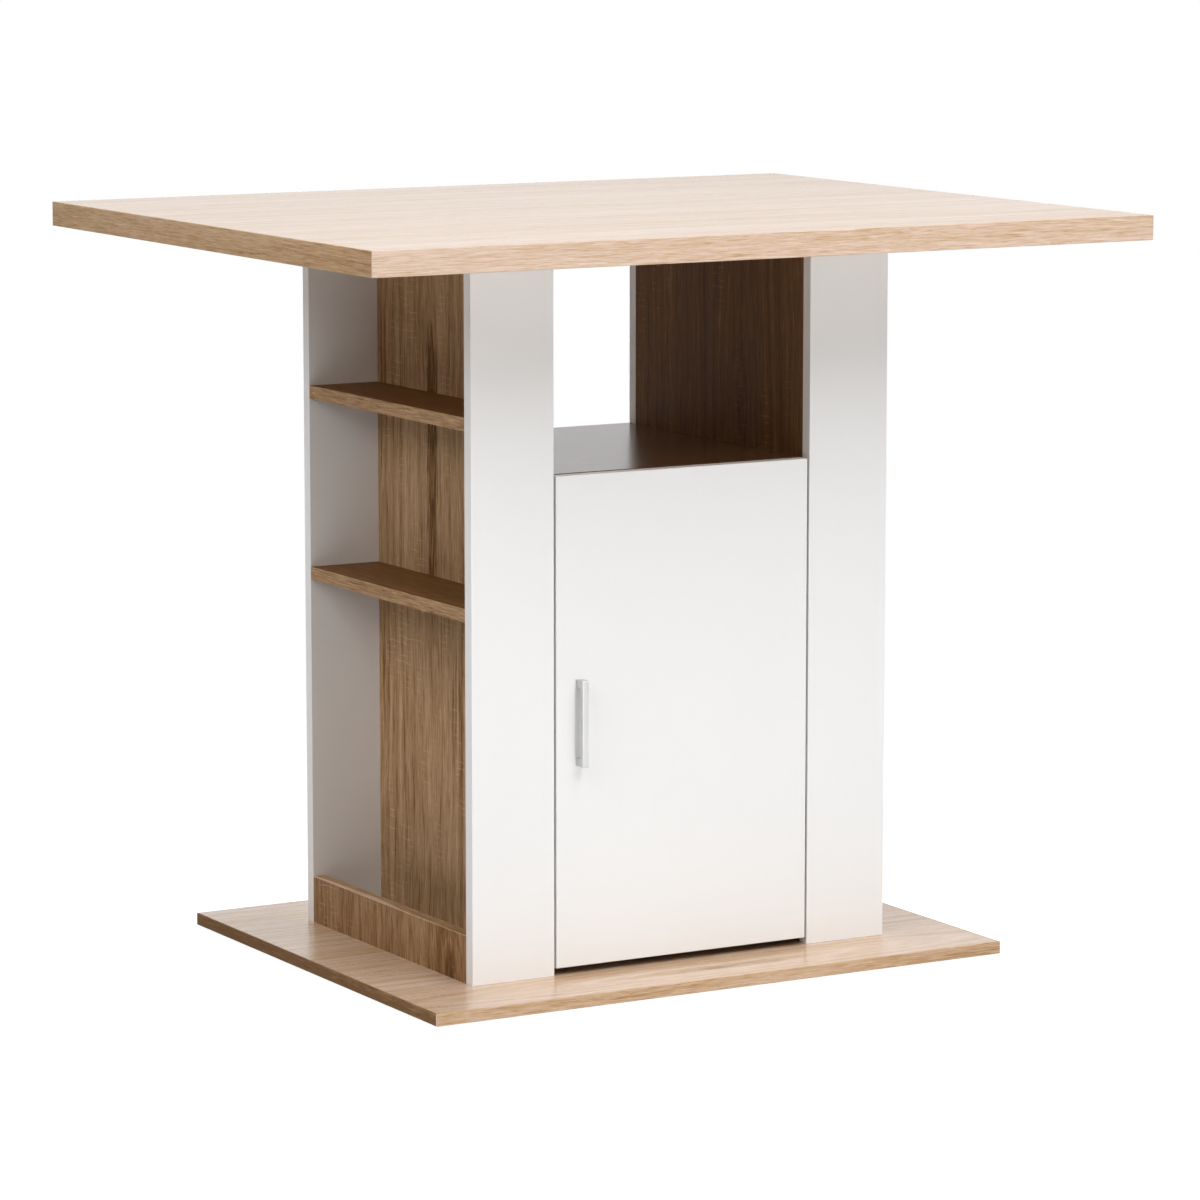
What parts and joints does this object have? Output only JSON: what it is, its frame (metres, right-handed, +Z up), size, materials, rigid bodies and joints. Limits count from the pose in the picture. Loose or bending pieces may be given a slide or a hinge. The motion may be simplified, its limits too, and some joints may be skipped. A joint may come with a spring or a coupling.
{
  "type": "kitchen island",
  "caption": "Oak-decor worktop on two white shelf columns over a base plate, with a through niche and a hinged cabinet door between the columns.",
  "frame": {"origin": "on the floor under the middle of the worktop", "axes": "+X along the front to the right, +Y from the front to the back, +Z up"},
  "size_m": [1.06, 0.87, 0.917],
  "materials": {
    "oak_decor_board": "particle board with a matt light oak decor",
    "oak_edge_band": "plastic edge band with a light oak decor",
    "white_melamine_board": "particle board with matt white melamine",
    "plated_steel": "bright plated steel",
    "handle_aluminium": "satin aluminium",
    "beech_dowel": "raw beech",
    "white_plastic": "white moulded plastic",
    "grey_glide_plastic": "hard grey plastic",
    "magnet": "ferrite"
  },
  "bodies": {
    "carcass": {"tabletop_board": "oak_decor_board", "base_board": "oak_decor_board", "left_divider": "oak_decor_board", "right_divider": "oak_decor_board", "left_upper_shelf": "oak_decor_board", "left_lower_shelf": "oak_decor_board", "right_upper_shelf": "oak_decor_board", "right_lower_shelf": "oak_decor_board", "left_plinth": "oak_decor_board", "right_plinth": "oak_decor_board", "niche_floor": "oak_decor_board", "tabletop_front_band": "oak_edge_band", "tabletop_rear_band": "oak_edge_band", "tabletop_left_band": "oak_edge_band", "tabletop_right_band": "oak_edge_band", "base_front_band": "oak_edge_band", "base_rear_band": "oak_edge_band", "base_left_band": "oak_edge_band", "base_right_band": "oak_edge_band", "shelf_edge_bands": "oak_edge_band", "plinth_edge_bands": "oak_edge_band", "front_left_panel": "white_melamine_board", "front_right_panel": "white_melamine_board", "rear_left_panel": "white_melamine_board", "rear_right_panel": "white_melamine_board", "back_panel": "white_melamine_board", "cabinet_shelf": "white_melamine_board", "lower_hinge_arm": "plated_steel", "lower_hinge_plate": "plated_steel", "upper_hinge_arm": "plated_steel", "upper_hinge_plate": "plated_steel", "hinge_plate_screws": "plated_steel", "hinge_arm_screws": "plated_steel", "catch_screws": "plated_steel", "base_screws": "plated_steel", "cam_bolts": "plated_steel", "cam_housings": "plated_steel", "cabinet_shelf_supports": "plated_steel", "dowels": "beech_dowel", "catch_housing": "white_plastic", "floor_glides": "grey_glide_plastic", "catch_magnet": "magnet"},
    "door": {"door": "white_melamine_board", "handle": "handle_aluminium", "handle_screws": "plated_steel", "lower_hinge_cup": "plated_steel", "lower_hinge_pin": "plated_steel", "upper_hinge_cup": "plated_steel", "upper_hinge_pin": "plated_steel", "hinge_cup_screws": "plated_steel", "catch_strike_plate": "plated_steel", "catch_strike_screw": "plated_steel"}
  },
  "joints": [
    {"name": "door_hinge", "type": "hinge", "parent": "carcass", "child": "door", "pos_m": [0.1645, -0.2105, 0.3225], "axis": [0, 0, 1], "range_deg": [0, 95]}
  ]
}
